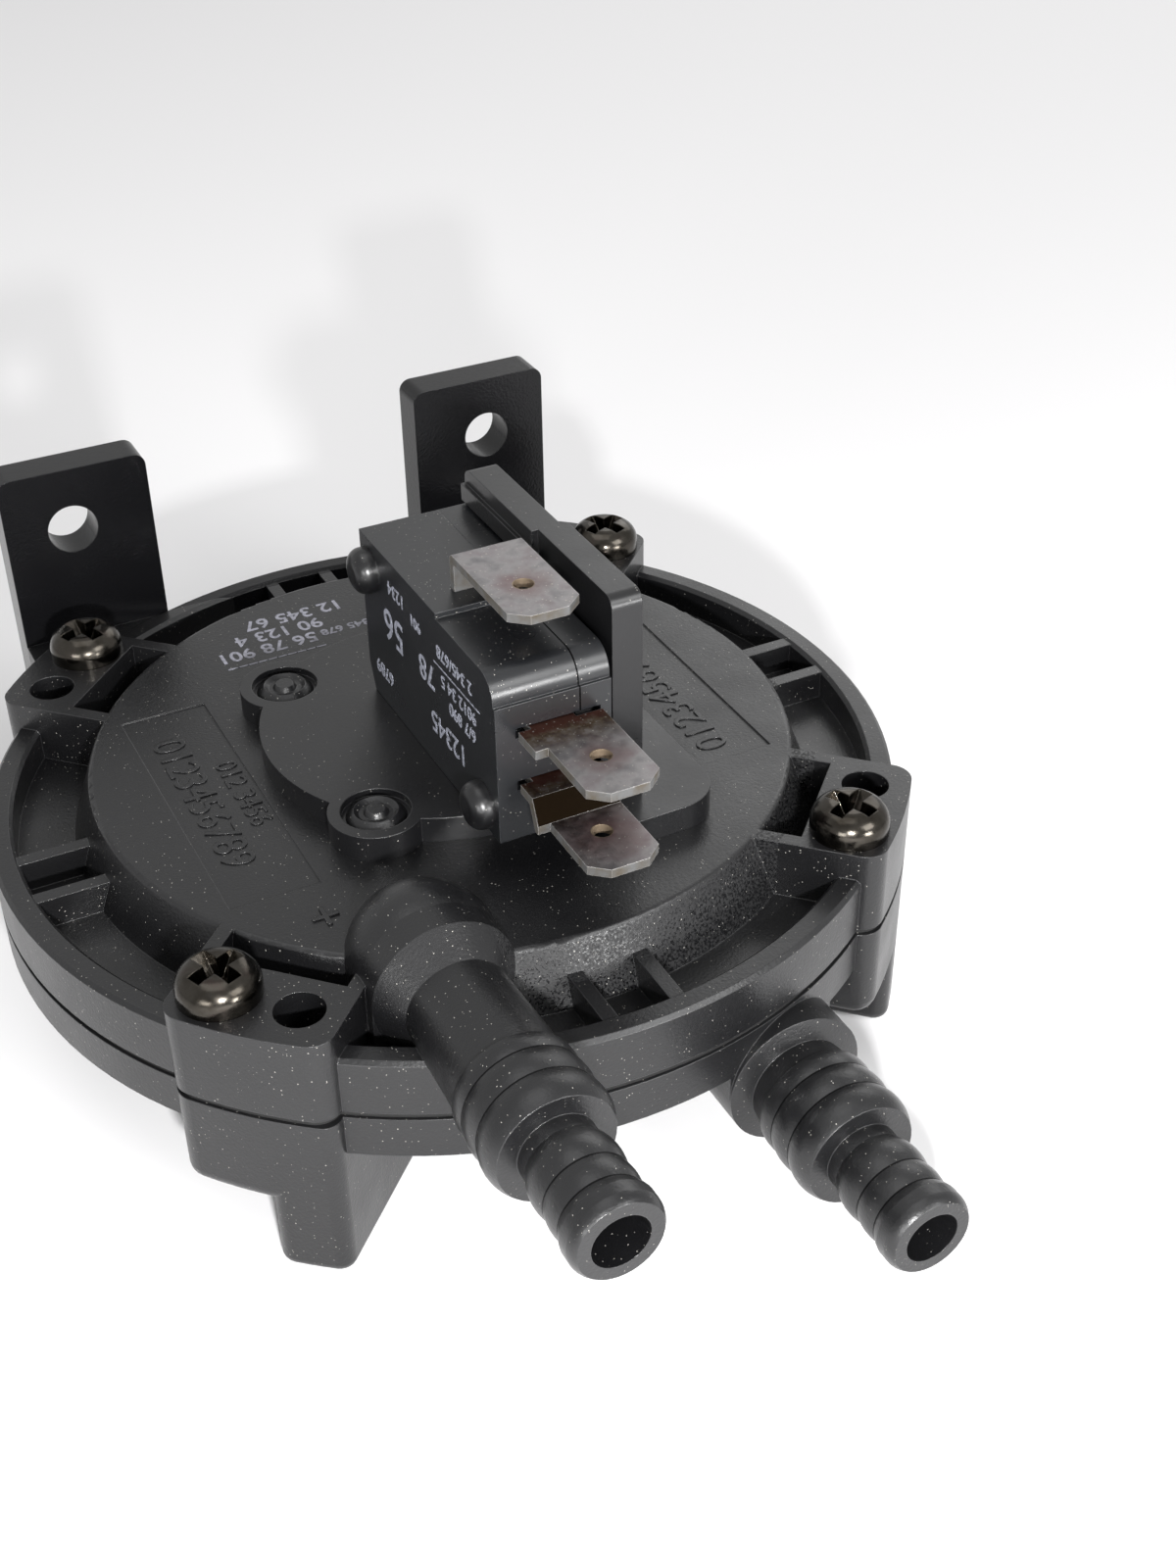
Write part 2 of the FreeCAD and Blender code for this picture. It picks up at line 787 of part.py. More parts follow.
def housing_screws():
    """Four pan-head screws with a cross recess."""
    solids = []
    for angle in quarter_angles():
        x, y = fastening_xy(angle - fastening_angle)
        head = domed(screw_head_r, screw_head_side, screw_head_top_r, screw_head_h)
        shank = turned([
            (0, 0.5), (screw_shank_r, 0.5), (screw_shank_r, 1.2 - screw_len),
            (0.5, -screw_len), (0, -screw_len)])
        screw = head.fuse(shank)
        for quarter in (0, 90):
            screw = screw.cut(turn_z(recess_arm(), quarter))
        screw = turn_z(screw, screw_turn)
        screw.translate(Vector(x, y, deck_z))
        solids.append(screw)
    return Part.makeCompound(solids)


def switch_bracket():
    """The moulding that carries the switch: round plate, corner pad, wall, pins and stake bosses."""
    plate = cylinder(plate_base_r, deck_z, base_top_z)
    pad = block(pad_left_x, pad_right_x, pad_front_y, 0, deck_z, base_top_z)
    corner = edges_along(pad, Z, lambda m: m.x > pad_right_x - 0.01 and m.y < pad_front_y + 0.01)
    pad = pad.makeFillet(pad_corner_r, corner)
    bosses = [cylinder(stake_boss_r, deck_z, base_top_z, x, y) for x, y in stakes]
    front_x = wall_x + wall_jog
    rear = block(wall_x, wall_x + wall_t, wall_jog_y, wall_back_y, deck_z, wall_top_z)
    front = block(front_x, front_x + wall_t, wall_front_y, wall_jog_y, deck_z, wall_top_z)
    rear = rear.makeFillet(
        wall_corner_r, edges_along(rear, X, lambda m: m.y > wall_back_y - 0.01 and m.z > wall_top_z - 0.01))
    front = front.makeFillet(
        wall_corner_r, edges_along(front, X, lambda m: m.y < wall_front_y + 0.01 and m.z > wall_top_z - 0.01))
    ledge_low = switch_top_z + ledge_gap
    ledge = block(wall_x - ledge_t, wall_x, wall_jog_y, wall_back_y, ledge_low, ledge_low + ledge_h)
    solids = [plate, pad, rear, front, ledge] + bosses
    pin_end = switch_left_x
    for y, z in mount_holes:
        wall_start = front_x if y < wall_jog_y else wall_x
        solids.append(rod_x(mount_hole_r - mount_pin_clearance, pin_end, wall_start, y, z))
    (front_y, front_z), (rear_y, rear_z) = mount_holes
    solids.append(switch_pin_head(front_y, front_z - front_head_sag))
    solids.append(switch_pin_head(rear_y + rear_head_shift, rear_z - rear_head_sag))
    shape = joined(solids)
    cuts = [cylinder(plunger_window_r, deck_z, base_top_z)]
    for x, y in stakes:
        cuts.append(cylinder(stake_post_r + stake_clearance, deck_z, base_top_z, x, y))
        cuts.append(cylinder(stake_well_r, base_top_z - stake_well_depth, base_top_z, x, y))
    return shape.cut(Part.makeCompound(cuts))


def switch_pin_head(y, z):
    """The end of a bracket pin, melted over on the printed side into a flat-topped dome."""
    head = domed(switch_pin_head_r, switch_pin_edge_h, switch_pin_top_r, switch_pin_head_h)
    head.rotate(Vector(0, 0, 0), Y, -90)
    head.translate(Vector(switch_left_x, y, z))
    return head


def case_outline():
    """(y, z) corners of the switch's outer form, seen from its side."""
    front, back = switch_front_y, switch_back_y
    step_z = switch_z + front_step_z
    return [
        (front, switch_z),
        (back - back_corner_l, switch_z),
        (back, switch_z + back_corner_h),
        (back, switch_top_z),
        (top_step_y, switch_top_z),
        (top_step_y, switch_top_z - top_step),
        (front + front_step, switch_top_z - top_step),
        (front + front_step, step_z),
        (front, step_z),
    ]


def case_form(x0, x1):
    """The switch's outer form between two planes, with its front top edge rounded."""
    form = prism(case_outline(), "x", x0, x1 - x0)
    top = switch_top_z - top_step
    edge = edges_along(
        form, X, lambda m: m.y < switch_front_y + front_step + 0.01 and m.z > top - 0.01)
    return form.makeFillet(case_front_r, edge)


def tab_slots():
    """The ways through the switch's case for its three terminals."""
    gap = slot_clearance
    left = tab_left_x - tab_root_extra - gap
    right = tab_left_x + tab_w + gap
    slots = []
    for top in (open_tab_top, closed_root_top):
        z1 = switch_z + top
        slots.append(block(
            left, right, switch_front_y - 1, tab_root_end_y + case_front_wall, z1 - tab_t - gap, z1 + gap))
        slots.append(block(
            strip_left_x - gap, strip_left_x + strip_w + gap, switch_front_y, strip_end_y + gap,
            z1 - tab_t - gap, z1 + gap))
    slots.append(block(
        strip_left_x - gap, strip_left_x + strip_w + gap, common_leg_y - gap,
        common_leg_y + tab_t + gap, switch_z + arm_low, switch_top_z))
    return Part.makeCompound(slots)


def switch_case():
    """The switch's base: a deep tray, open towards the cover."""
    shape = case_form(switch_left_x, parting_x)
    hollow = block(
        switch_left_x + case_wall, parting_x, switch_front_y + case_front_wall,
        switch_back_y - case_front_wall, switch_z + case_front_wall, switch_top_z - case_front_wall - top_step)
    bosses = [rod_x(mount_hole_r + mount_boss_wall, switch_left_x, parting_x, y, z) for y, z in mount_holes]
    shape = joined([shape.cut(hollow)] + bosses)
    holes = [rod_x(mount_hole_r, switch_left_x, parting_x, y, z) for y, z in mount_holes]
    plunger_hole = cylinder(plunger_r + plunger_clearance, switch_z, switch_z + case_front_wall)
    return shape.cut(Part.makeCompound(holes + [plunger_hole])).cut(tab_slots())


def switch_cover():
    """The switch's flat cover, on the bracket's side."""
    shape = case_form(parting_x, switch_right_x)
    holes = [rod_x(mount_hole_r, parting_x, switch_right_x, y, z) for y, z in mount_holes]
    return shape.cut(Part.makeCompound(holes)).cut(tab_slots())


def switch_plunger():
    head_z = switch_z + case_front_wall + plunger_clearance
    blade_bottom = blade_z
    top = blade_bottom - 0.7
    return turned([
        (0, plunger_tip_z),
        (plunger_r - 0.4, plunger_tip_z),
        (plunger_r, plunger_tip_z + 0.4),
        (plunger_r, head_z),
        (plunger_head_r, head_z),
        (plunger_head_r, head_z + plunger_head_t),
        (plunger_r - 0.4, head_z + plunger_head_t + 0.4),
        (plunger_r - 0.4, top),
        (0, top),
    ])


def tab_outline(tip_y, root_y):
    """(x, y) corners of a blade terminal from its root to its chamfered tip."""
    left, right = tab_left_x, tab_left_x + tab_w
    return [
        (left, root_y),
        (left, tip_y + tab_chamfer_l),
        (left + tab_chamfer_w, tip_y),
        (right - tab_chamfer_w, tip_y),
        (right, tip_y + tab_chamfer_l),
        (right, root_y),
    ]


def tab_plate(tip_y, root_y, top_z):
    plate = prism(tab_outline(tip_y, root_y), "z", top_z - tab_t, tab_t)
    return plate.cut(cylinder(tab_hole_r, top_z - tab_t, top_z, tab_x, tip_y + tab_hole_back))


def inner_strip(top_z):
    """The strip inside the case that carries a fixed contact."""
    return block(
        strip_left_x, strip_left_x + strip_w, tab_root_end_y, strip_end_y, top_z - tab_t, top_z)


def normally_open_terminal():
    """The middle terminal, flat, with a wide root in front of the case."""
    top_z = switch_z + open_tab_top
    root = block(
        tab_left_x - tab_root_extra, tab_left_x + tab_w, tab_shoulder_y, tab_root_end_y,
        top_z - tab_t, top_z)
    return joined([inner_strip(top_z), root, tab_plate(tab_tip_y, tab_shoulder_y, top_z)])


def normally_closed_terminal():
    """The lower terminal, which steps down in front of the case."""
    root_top = switch_z + closed_root_top
    tab_top = root_top - closed_tab_drop
    bend_angle = math.atan2(closed_tab_drop, closed_bend_y - tab_shoulder_y)
    inner_shift = tab_t * math.tan(bend_angle / 2)
    step = prism([
        (tab_root_end_y, root_top),
        (tab_root_end_y, root_top - tab_t),
        (closed_bend_y + inner_shift, root_top - tab_t),
        (tab_shoulder_y + inner_shift, tab_top - tab_t),
        (tab_shoulder_y, tab_top - tab_t),
        (tab_shoulder_y, tab_top),
        (closed_bend_y, root_top),
    ], "x", tab_left_x - tab_root_extra, tab_w + tab_root_extra)
    return joined([inner_strip(root_top), step, tab_plate(tab_tip_y, tab_shoulder_y, tab_top)])


def common_terminal():
    """The top terminal: a bent tab whose leg goes down to the arm that anchors the blade."""
    top_z = switch_top_z + common_tab_rise
    back_y = common_leg_y + tab_t
    plate = tab_plate(common_tip_y, common_leg_y, top_z)
    knee = block(tab_left_x, tab_left_x + tab_w, common_leg_y, back_y, switch_top_z + 0.1, top_z)
    outer_knee = edges_along(knee, X, lambda m: m.y > back_y - 0.01 and m.z > top_z - 0.01)
    knee = knee.makeFillet(tab_t * 0.7, outer_knee)
    strip_x = strip_left_x
    arm_z = switch_z + arm_low
    leg = block(strip_x, strip_x + strip_w, common_leg_y, back_y, arm_z, switch_top_z + 0.1)
    arm = block(strip_x, strip_x + strip_w, back_y, anchor_y + tab_t, arm_z, arm_z + tab_t)
    post = block(strip_x, strip_x + strip_w, anchor_y, anchor_y + tab_t, switch_z + anchor_low, arm_z)
    groove = rod_x(bead_r + bead_clearance, strip_x, strip_x + strip_w, anchor_y, hinge_z)
    return joined([plate, knee, leg, arm, post]).cut(groove)


def contact_rivet(z0, z1, radius=contact_r):
    return cylinder(radius, z0, z1, contact_x, contact_y)


def open_contact():
    return contact_rivet(open_contact_z, open_contact_z + contact_t)


def closed_contact():
    return contact_rivet(closed_contact_z - contact_t, closed_contact_z)


def moving_contact():
    """A rivet through the blade, silver on both faces; it rests on the normally closed contact."""
    top = blade_z + blade_t + moving_contact_t
    lower_head = contact_rivet(closed_contact_z + contact_gap, blade_z)
    stem = contact_rivet(blade_z, blade_z + blade_t, contact_r * 0.5)
    upper_head = contact_rivet(blade_z + blade_t, top)
    return joined([lower_head, stem, upper_head])


def contact_blade():
    """The spring blade: a rolled bead that turns in the post's groove, a window and a contact hole."""
    left = contact_x - blade_w / 2
    bead = rod_x(bead_r, left, left + blade_w, anchor_y, hinge_z)
    strip = block(left, left + blade_w, blade_end_y, anchor_y - bead_r, blade_z, blade_z + blade_t)
    neck = block(left, left + blade_w, anchor_y - 2 * bead_r, anchor_y, blade_z, blade_z + blade_t)
    strip = joined([strip, neck, bead])
    window = block(
        contact_x - window_w / 2, contact_x + window_w / 2, window_front_y, window_back_y,
        blade_z, blade_z + blade_t)
    hole = contact_rivet(blade_z, blade_z + blade_t, contact_r * 0.5)
    return strip.cut(window).cut(hole)


def snap_spring():
    """A bowed strip across the blade's window, which throws the contact over."""
    def bow(rise, lift):
        front = Vector(0, window_front_y + contact_gap, blade_z + lift)
        back = Vector(0, window_back_y - contact_gap, blade_z + lift)
        crown = Vector(0, (window_front_y + window_back_y) / 2, blade_z + rise + lift)
        return front, crown, back
    low = bow(bow_h, 0.0)
    high = bow(bow_h, bow_t)
    wire = Part.Wire([
        Part.Arc(*low).toShape(),
        Part.makeLine(low[2], high[2]),
        Part.Arc(high[2], high[1], high[0]).toShape(),
        Part.makeLine(high[0], low[0]),
    ])
    strip = Part.Face(wire).extrude(X * (window_w - 4 * contact_gap))
    strip.translate(X * (contact_x - window_w / 2 + 2 * contact_gap))
    return strip


save("upper_housing", upper_housing())
save("lower_housing", lower_housing())
save("diaphragm", diaphragm())
save("upper_plate", upper_plate())
save("lower_plate", lower_plate())
save("actuator_pin", actuator_pin())
save("pin_bush", pin_bush())
save("pin_seal", pin_seal())
save("return_spring", return_spring())
save("housing_screws", housing_screws())
save("switch_bracket", switch_bracket())
save("switch_case", switch_case())
save("switch_cover", switch_cover())
save("switch_plunger", switch_plunger())
save("common_terminal", common_terminal())
save("normally_open_terminal", normally_open_terminal())
save("normally_closed_terminal", normally_closed_terminal())
save("open_contact", open_contact())
save("closed_contact", closed_contact())
save("moving_contact", moving_contact())
save("contact_blade", contact_blade())
save("snap_spring", snap_spring())
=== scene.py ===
import bpy
from mathutils import Matrix, Vector


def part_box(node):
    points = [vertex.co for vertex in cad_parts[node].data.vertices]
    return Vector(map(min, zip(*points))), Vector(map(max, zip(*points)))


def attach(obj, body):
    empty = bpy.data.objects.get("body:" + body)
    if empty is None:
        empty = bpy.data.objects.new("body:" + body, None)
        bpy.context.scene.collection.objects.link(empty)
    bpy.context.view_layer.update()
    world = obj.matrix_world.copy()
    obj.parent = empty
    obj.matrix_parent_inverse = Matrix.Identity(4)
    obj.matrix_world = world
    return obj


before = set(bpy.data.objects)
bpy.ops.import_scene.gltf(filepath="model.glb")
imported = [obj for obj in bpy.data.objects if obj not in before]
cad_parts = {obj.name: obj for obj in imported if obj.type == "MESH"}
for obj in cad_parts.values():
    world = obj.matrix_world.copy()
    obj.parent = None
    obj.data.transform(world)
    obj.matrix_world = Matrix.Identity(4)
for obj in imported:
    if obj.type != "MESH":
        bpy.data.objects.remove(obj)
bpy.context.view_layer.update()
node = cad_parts


# The two housing shells are moulded in black glass-filled nylon. The mould leaves a fine grain on
# every wall, and handling leaves pale dust on the walls and a lighter line along the edges.
mm = 0.001


def blank_material(name):
    """A new material with nothing but its shader, returned with its node tree."""
    made = bpy.data.materials.new(name)
    made.use_nodes = True
    tree = made.node_tree
    tree.nodes.clear()
    shader = tree.nodes.new("ShaderNodeBsdfPrincipled")
    output = tree.nodes.new("ShaderNodeOutputMaterial")
    tree.links.new(shader.outputs[0], output.inputs[0])
    return made, tree, shader


def part_position(tree):
    """Where a point lies on the part, in metres."""
    return tree.nodes.new("ShaderNodeTexCoord").outputs["Object"]


def split_position(tree):
    """The same place as three numbers: across, along and up."""
    split = tree.nodes.new("ShaderNodeSeparateXYZ")
    tree.links.new(part_position(tree), split.inputs[0])
    return split.outputs[0], split.outputs[1], split.outputs[2]


def noise(tree, size_mm, detail=3.0, roughness=0.55):
    """Noise whose lumps are about the given size; gives a factor from 0 to 1."""
    texture = tree.nodes.new("ShaderNodeTexNoise")
    texture.inputs["Scale"].default_value = 1.0 / (size_mm * mm)
    texture.inputs["Detail"].default_value = detail
    texture.inputs["Roughness"].default_value = roughness
    tree.links.new(part_position(tree), texture.inputs["Vector"])
    return texture.outputs["Fac"]


def ramp(tree, factor, stops):
    """A colour ramp from (place, colour) stops."""
    made = tree.nodes.new("ShaderNodeValToRGB")
    elements = made.color_ramp.elements
    while len(elements) < len(stops):
        elements.new(0.5)
    for element, (place, colour) in zip(elements, stops):
        element.position = place
        element.color = (*colour, 1.0)
    tree.links.new(factor, made.inputs["Fac"])
    return made.outputs["Color"]


def grey(value):
    return (value, value, value)


def mix(tree, factor, first, second):
    """The first colour where the factor is 0 and the second where it is 1."""
    made = tree.nodes.new("ShaderNodeMix")
    made.data_type = "RGBA"
    tree.links.new(factor, made.inputs["Factor"])
    for socket, value in ((made.inputs["A"], first), (made.inputs["B"], second)):
        if isinstance(value, tuple):
            socket.default_value = (*value, 1.0)
        else:
            tree.links.new(value, socket)
    return made.outputs["Result"]


def maths(tree, operation, first, second=0.0):
    made = tree.nodes.new("ShaderNodeMath")
    made.operation = operation
    for socket, value in ((made.inputs[0], first), (made.inputs[1], second)):
        if isinstance(value, (int, float)):
            socket.default_value = value
        else:
            tree.links.new(value, socket)
    return made.outputs[0]


def distance(tree, first, second):
    """How far a point is from where both of these numbers are 0."""
    squares = maths(
        tree, "ADD", maths(tree, "MULTIPLY", first, first), maths(tree, "MULTIPLY", second, second))
    return maths(tree, "SQRT", squares)


def within(tree, value, middle, half):
    """1 where a number lies less than half away from the middle, and 0 elsewhere."""
    off = maths(tree, "ABSOLUTE", maths(tree, "SUBTRACT", value, middle))
    return maths(tree, "LESS_THAN", off, half)


def held(tree, value, most):
    """A number kept between 0 and the most that it may be."""
    return maths(tree, "MINIMUM", maths(tree, "MAXIMUM", value, 0.0), most)


def bump(tree, height, depth_mm, normal):
    made = tree.nodes.new("ShaderNodeBump")
    made.inputs["Distance"].default_value = depth_mm * mm
    made.inputs["Strength"].default_value = 1.0
    tree.links.new(height, made.inputs["Height"])
    tree.links.new(normal, made.inputs["Normal"])
    return made.outputs["Normal"]


def soft_edges(tree, radius_mm):
    """The surface's direction, with each sharp edge rounded over by the given radius."""
    made = tree.nodes.new("ShaderNodeBevel")
    made.samples = 6
    made.inputs["Radius"].default_value = radius_mm * mm
    return made.outputs["Normal"]


def edge_mask(tree, rounded, contrast=5.0):
    """Above 0 along the sharp edges, where the rounded direction leaves the flat one."""
    flat = tree.nodes.new("ShaderNodeNewGeometry").outputs["Normal"]
    product = tree.nodes.new("ShaderNodeVectorMath")
    product.operation = "DOT_PRODUCT"
    tree.links.new(flat, product.inputs[0])
    tree.links.new(rounded, product.inputs[1])
    turned_away = maths(tree, "SUBTRACT", 1.0, product.outputs["Value"])
    return maths(tree, "MULTIPLY", turned_away, contrast)


def dust(tree, spacing_mm, largest, amount, drift_mm=9.0):
    """1 on a round speck and 0 between them. largest is a speck's radius as a share of the
    spacing, and the specks gather in drifts of about the given width."""
    cells = tree.nodes.new("ShaderNodeTexVoronoi")
    cells.inputs["Scale"].default_value = 1.0 / (spacing_mm * mm)
    tree.links.new(part_position(tree), cells.inputs["Vector"])
    chance = tree.nodes.new("ShaderNodeSeparateColor")
    tree.links.new(cells.outputs["Color"], chance.inputs[0])
    size = maths(tree, "MULTIPLY", chance.outputs[1], largest)
    near = maths(tree, "LESS_THAN", cells.outputs["Distance"], size)
    drift = maths(tree, "MULTIPLY", noise(tree, drift_mm), amount * 2)
    chosen = maths(tree, "LESS_THAN", chance.outputs[0], drift)
    return maths(tree, "MULTIPLY", near, chosen)


def moulded_plastic(name, dark, light, gloss, grain_mm, grain_depth_mm, edge_mm, dust_amount):
    """Returns the material with its tree, shader, colour and roughness, for marks to be added."""
    cloud_mm, wear_mm, sheen_mm = 22.0, 2.5, 7.0
    dust_colour = (0.24, 0.23, 0.21)
    scuff_gain, scuff_lift, most_scuffed = 2.5, 0.016, 0.7
    scuffed = tuple(c * scuff_gain + scuff_lift for c in light)
    made, tree, shader = blank_material(name)
    rounded = soft_edges(tree, edge_mm)
    cloud = ramp(tree, noise(tree, cloud_mm), [(0.35, dark), (0.7, light)])
    worn = maths(tree, "MULTIPLY", edge_mask(tree, rounded), noise(tree, wear_mm))
    body = mix(tree, maths(tree, "MINIMUM", worn, most_scuffed), cloud, scuffed)
    fine = dust(tree, spacing_mm=0.22, largest=0.26, amount=dust_amount * 1.4)
    coarse = dust(tree, spacing_mm=1.0, largest=0.065, amount=dust_amount * 1.5)
    colour = mix(tree, maths(tree, "MAXIMUM", fine, coarse), body, dust_colour)
    tree.links.new(colour, shader.inputs["Base Color"])
    rough = ramp(
        tree, noise(tree, sheen_mm), [(0.3, grey(gloss - 0.05)), (0.75, grey(gloss + 0.07))])
    tree.links.new(rough, shader.inputs["Roughness"])
    grain = noise(tree, grain_mm, detail=2.0)
    tree.links.new(bump(tree, grain, grain_depth_mm, rounded), shader.inputs["Normal"])
    return made, tree, shader, colour, rough


def finish_node(name, material):
    """Puts one material on a CAD node's object."""
    mesh = node[name].data
    mesh.materials.clear()
    mesh.materials.append(material)


housing_plastic, tree, shader, colour, rough = moulded_plastic(
    "housing_plastic", dark=(0.0035, 0.0035, 0.004), light=(0.0055, 0.0055, 0.006), gloss=0.34,
    grain_mm=0.28, grain_depth_mm=0.024, edge_mm=0.12, dust_amount=0.12)
across, along, up = split_position(tree)

# Painted shade darkens the valleys between the rings of both ports, but not their bores.
port_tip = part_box("upper_housing")[0][1]
port_aside = 13.2 * mm
port_off_flange = 6.3 * mm
upper_port_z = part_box("upper_housing")[0][2] + port_off_flange
lower_port_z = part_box("lower_housing")[1][2] - port_off_flange
bore_mouth_r = 2.8 * mm
valley_half = 0.08 * mm
most_valley_shade = 0.8
valleys = None
for behind_tip_mm in (2.8, 5.1, 12.6, 15.1):
    valley = within(tree, along, port_tip + behind_tip_mm * mm, valley_half)
    valleys = valley if valleys is None else maths(tree, "MAXIMUM", valleys, valley)
on_right = maths(tree, "GREATER_THAN", across, 0.0)
port_z = maths(
    tree, "SUBTRACT", upper_port_z,
    maths(tree, "MULTIPLY", on_right, upper_port_z - lower_port_z))
aside = maths(tree, "SUBTRACT", maths(tree, "ABSOLUTE", across), port_aside)
from_axis = distance(tree, aside, maths(tree, "SUBTRACT", up, port_z))
outside_bore = maths(tree, "GREATER_THAN", from_axis, bore_mouth_r)
valley_shade = maths(tree, "MULTIPLY", maths(tree, "MULTIPLY", valleys, outside_bore), most_valley_shade)

# The ears carry no dust and are smoother, with less shine.
ear_thickness = 4.0 * mm
ear_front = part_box("upper_housing")[1][1] - ear_thickness
ear_black, ear_rough = (0.004, 0.004, 0.0045), 0.20
valley_shade_black = grey(0.001)
on_ear = maths(tree, "GREATER_THAN", along, ear_front)
colour = mix(tree, on_ear, colour, ear_black)
# The ring valleys are painted near black, as shade.
tree.links.new(mix(tree, valley_shade, colour, valley_shade_black), shader.inputs["Base Color"])
# The ring valleys' shine is lowered as well, as painted shade.
full_shine, valley_shade_loss, ear_loss = 0.5, 0.5, 0.28
lost_to_valley_shade = maths(tree, "MULTIPLY", valley_shade, valley_shade_loss)
lost_on_ear = maths(tree, "MULTIPLY", on_ear, ear_loss)
loss = maths(tree, "ADD", lost_to_valley_shade, lost_on_ear)
tree.links.new(maths(tree, "SUBTRACT", full_shine, loss), shader.inputs["Specular IOR Level"])

# The deck's sloping wall, right of the upper port, has a coarse sheen that glitters.
wall_r, wall_half, wall_start = 32.5 * mm, 1.05 * mm, -9.0 * mm
sparkle_mm, glint, matt = 0.22, 0.24, 0.72
on_wall = within(tree, distance(tree, across, along), wall_r, wall_half)
on_wall = maths(tree, "MULTIPLY", on_wall, maths(tree, "GREATER_THAN", across, wall_start))
sparkle = ramp(
    tree, noise(tree, sparkle_mm, detail=1.0), [(0.35, grey(glint)), (0.65, grey(matt))])
rough = mix(tree, on_wall, rough, sparkle)
tree.links.new(mix(tree, on_ear, rough, grey(ear_rough)), shader.inputs["Roughness"])
for name in ("upper_housing", "lower_housing"):
    finish_node(name, housing_plastic)


# The diaphragm is black sheet rubber, clamped between the shells. Only its edge shows, as a fine
# line round the rim. The pin's lip ring is of the same rubber.
diaphragm_rubber = moulded_plastic(
    "diaphragm_rubber", dark=grey(0.004), light=grey(0.008), gloss=0.6, grain_mm=0.3,
    grain_depth_mm=0.006, edge_mm=0.1, dust_amount=0.05)[0]
for name in ("diaphragm", "pin_seal"):
    finish_node(name, diaphragm_rubber)


# Four pan-head screws hold the shells together through their lugs. They are blackened steel with
# a glossy lacquer, a little brown in places.
screw_steel, tree, shader = blank_material("screw_steel")
shader.inputs["Metallic"].default_value = 1.0
blackened = ramp(tree, noise(tree, 1.8), [
    (0.3, (0.030, 0.026, 0.021)), (0.55, (0.055, 0.050, 0.043)), (0.8, (0.050, 0.038, 0.034))])
tree.links.new(blackened, shader.inputs["Base Color"])
lacquer = ramp(tree, noise(tree, 0.8), [(0.3, grey(0.14)), (0.8, grey(0.30))])
tree.links.new(lacquer, shader.inputs["Roughness"])
dent_mm, dent_depth_mm, head_edge_mm = 0.6, 0.012, 0.16
dents = bump(tree, noise(tree, dent_mm), dent_depth_mm, soft_edges(tree, head_edge_mm))
tree.links.new(dents, shader.inputs["Normal"])
finish_node("housing_screws", screw_steel)


# The bracket that carries the switch is a smoother black moulding. Three posts of the upper shell
# are melted over to hold it on the deck.
bracket_plastic = moulded_plastic(
    "bracket_plastic", dark=(0.0035, 0.0035, 0.004), light=(0.006, 0.006, 0.0065), gloss=0.30,
    grain_mm=0.4, grain_depth_mm=0.008, edge_mm=0.12, dust_amount=0.07)[0]
finish_node("switch_bracket", bracket_plastic)


# The snap switch has a case and a cover in dark grey thermoset, fixed by the bracket's two pins.
# The line where the cover meets the case is dark on the front part of the top and on the front.
switch_plastic, tree, shader, colour, rough = moulded_plastic(
    "switch_plastic", dark=(0.0065, 0.007, 0.008), light=(0.011, 0.0115, 0.013), gloss=0.30,
    grain_mm=0.5, grain_depth_mm=0.006, edge_mm=0.09, dust_amount=0.16)
across, along = split_position(tree)[:2]
cover_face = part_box("switch_case")[1][0]
seam_half = 0.07 * mm
seam_back = -12.5 * mm
seam_black, seam_loss = grey(0.001), 0.45
seam = maths(
    tree, "MULTIPLY", within(tree, across, cover_face, seam_half),
    maths(tree, "LESS_THAN", along, seam_back))
tree.links.new(mix(tree, seam, colour, seam_black), shader.inputs["Base Color"])
tree.links.new(
    maths(tree, "SUBTRACT", full_shine, maths(tree, "MULTIPLY", seam, seam_loss)),
    shader.inputs["Specular IOR Level"])
for name in ("switch_case", "switch_cover", "switch_plunger"):
    finish_node(name, switch_plastic)


# The three terminals are stamped from tin-plated brass, 6.35 mm wide, and held in the switch's
# case. Heat has stained them: purple round the hole, dark red at the case, mottled brown between.
# The sheared sides are darker than the plating, with bright edges; the bend is painted dark brown
# as shade.
blade_half_width = 3.175 * mm
hole_from_tip = 4.9 * mm
hole_r_mm = 0.93
purple, dark_red, bare_brass = (0.13, 0.055, 0.05), (0.08, 0.026, 0.018), (0.20, 0.155, 0.11)
bend_painted_shade, bend_rough = (0.007, 0.0045, 0.0025), 0.75
bright_edge, blade_dust = (0.42, 0.41, 0.40), (0.36, 0.34, 0.31)
bend_limit, side_limit = 0.8, 0.3
hole_ragged_mm, root_ragged_mm = 3.0, 2.4
scorch_fade_mm, red_reach_mm = 2.8, 2.8
most_scorched, most_red, most_rubbed = 0.92, 0.9, 0.7
blade_edge_mm = 0.10
scratch_mm, scratch_depth_mm, scratch_stretch = 0.2, 0.004, 0.08


